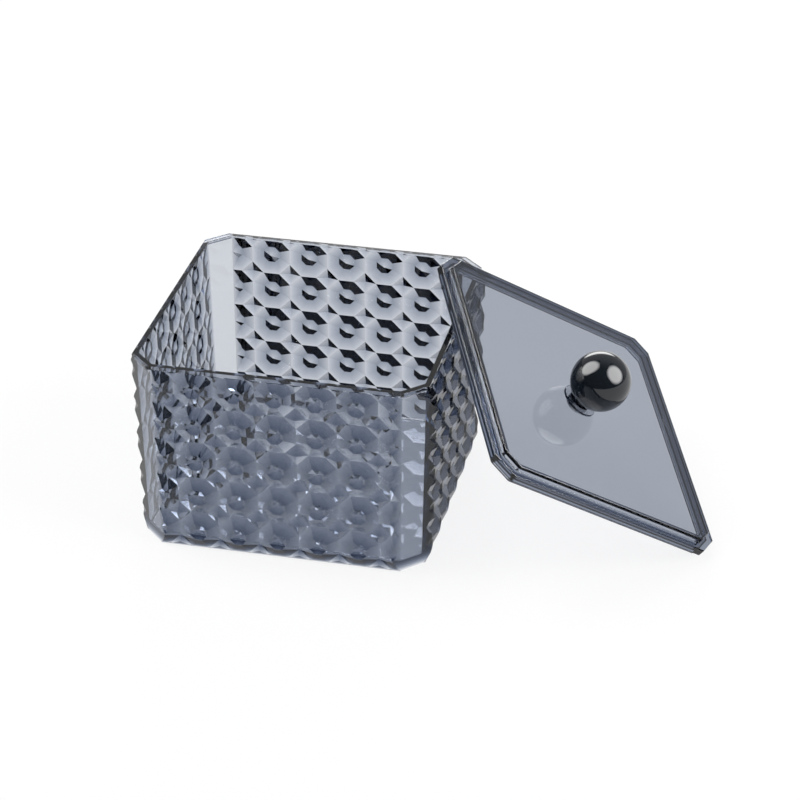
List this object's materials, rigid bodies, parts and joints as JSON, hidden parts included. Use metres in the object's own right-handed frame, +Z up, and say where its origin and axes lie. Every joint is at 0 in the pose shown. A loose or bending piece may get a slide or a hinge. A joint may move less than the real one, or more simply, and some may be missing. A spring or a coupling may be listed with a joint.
{
  "type": "cotton pad box with lid",
  "caption": "Square smoke-clear moulded box with gem-cut walls for cotton pads, open on top, with its flat ball-knobbed lid taken off and leaning against one side.",
  "frame": {"origin": "centre of the box's flat base, on the table", "axes": "+Z up; the front wall faces -Y; the lid leans against the +X wall"},
  "size_m": [0.1924, 0.129, 0.0838],
  "materials": {
    "smoke_clear": "polished, see-through, smoke tinted",
    "smoke_clear_lid": "polished, see-through, smoke tinted",
    "collar_clear": "polished, see-through, smoke tinted",
    "knob_black": "polished, near black",
    "screw_steel": "satin"
  },
  "bodies": {
    "box": {"box_body": "smoke_clear"},
    "lid": {"lid_panel": "smoke_clear_lid", "knob_collar": "collar_clear", "knob_ball": "knob_black", "knob_screw": "screw_steel"}
  },
  "joints": [
    {"name": "lid_lift_off", "type": "slide", "parent": "box", "child": "lid", "axis": [0.6367, 0, 0.7711], "range_m": [0, 0.1]}
  ]
}
